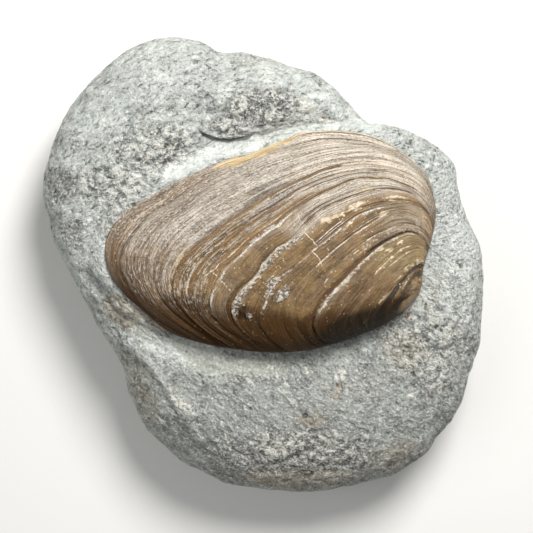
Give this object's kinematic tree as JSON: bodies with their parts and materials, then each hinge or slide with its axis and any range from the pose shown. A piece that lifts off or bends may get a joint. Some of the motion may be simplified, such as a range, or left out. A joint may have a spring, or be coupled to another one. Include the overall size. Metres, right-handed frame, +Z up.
{
  "type": "fossil bivalve in matrix",
  "caption": "Oblique oval bivalve fossil with stepped concentric growth ridges, standing in relief from the upper face of a rounded grey limestone nodule.",
  "frame": {"origin": "middle of the base of the bounding box, on the flat underside the nodule rests on", "axes": "+Z up, out of the face that carries the shell; +X towards the beak end of the shell; +Y towards its long upper margin"},
  "size_m": [0.0784, 0.081, 0.0302],
  "materials": {
    "matrix_limestone": "matt, rough, weathered, with a cleaned and smoother strip round the shell",
    "fossil_shell": "satin, finely striated, brown with paler worn ridges"
  },
  "bodies": {
    "root": {"matrix_stone": "matrix_limestone", "bivalve_shell": "fossil_shell"}
  },
  "joints": []
}
